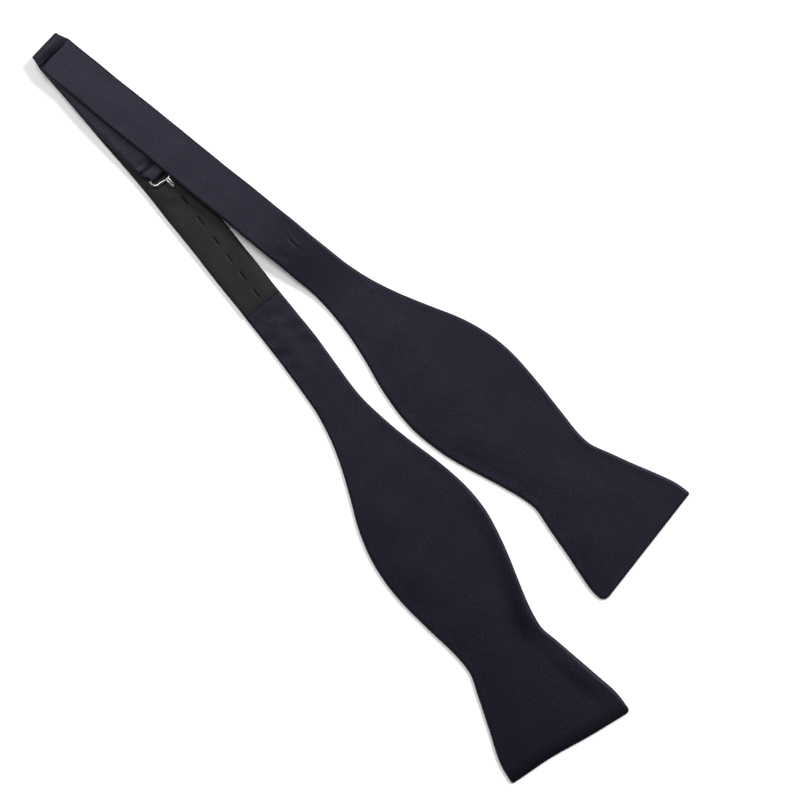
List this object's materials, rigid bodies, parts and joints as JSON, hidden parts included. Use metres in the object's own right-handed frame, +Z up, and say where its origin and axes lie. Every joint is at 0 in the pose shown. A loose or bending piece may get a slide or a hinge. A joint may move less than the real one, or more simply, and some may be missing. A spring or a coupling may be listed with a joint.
{
  "type": "self-tie bow tie",
  "caption": "Untied adjustable satin bow tie laid flat: two shaped blades, slotted neck tape, metal hook and folded extension band.",
  "frame": {"origin": "middle of the footprint, on the surface that the untied tie lies on", "axes": "+X from the folded neck end to the blades' ends, +Y across the tie from the long half to the short half, +Z up from the surface"},
  "size_m": [0.4826, 0.1792, 0.009],
  "materials": {
    "satin": "dark navy satin",
    "interlining": "brushed woven interlining",
    "tape": "matt black ribbon",
    "thread": "twisted polyester",
    "hook_metal": "dull silver plating"
  },
  "bodies": {
    "long_half": {"long_back_shell": "satin", "long_interlining": "interlining", "long_front_shell": "satin", "slotted_tape": "tape", "tape_stitching": "thread"},
    "long_tip": {"long_tip_back_shell": "satin", "long_tip_interlining": "interlining", "long_tip_front_shell": "satin"},
    "neck_return": {"extension_return": "satin", "loop_stitching": "thread", "extension_fold": "satin"},
    "hook": {"hook": "hook_metal"},
    "short_half": {"extension_tab": "satin", "centre_seam_stitching": "thread", "short_back_shell": "satin", "short_interlining": "interlining", "short_front_shell": "satin"},
    "short_tip": {"short_tip_back_shell": "satin", "short_tip_interlining": "interlining", "short_tip_front_shell": "satin"}
  },
  "joints": [
    {"name": "hook_swivel", "type": "hinge", "parent": "long_half", "child": "neck_return", "pos_m": [-0.1374, 0.00143, 0.0039], "axis": [0, 0, 1], "range_deg": [-1, 85]},
    {"name": "hook_rock", "type": "hinge", "parent": "neck_return", "child": "hook", "pos_m": [-0.1472, 0.0016, 0.00535], "axis": [0.0174, 0.9998, 0], "range_deg": [-2, 2]},
    {"name": "neck_fold", "type": "hinge", "parent": "neck_return", "child": "short_half", "pos_m": [-0.2389, 0.0032, 0.00662], "axis": [0.055, -0.9985, 0], "range_deg": [0, 178], "deforming": ["extension_fold"]},
    {"name": "long_waist_fold", "type": "hinge", "parent": "long_half", "child": "long_tip", "pos_m": [0.16916, -0.04199, 0.0025], "axis": [-0.165, -0.9863, 0], "range_deg": [0, 170]},
    {"name": "short_waist_fold", "type": "hinge", "parent": "short_half", "child": "short_tip", "pos_m": [0.12136, 0.0456, 0.0025], "axis": [0.1071, -0.9942, 0], "range_deg": [0, 170]}
  ]
}
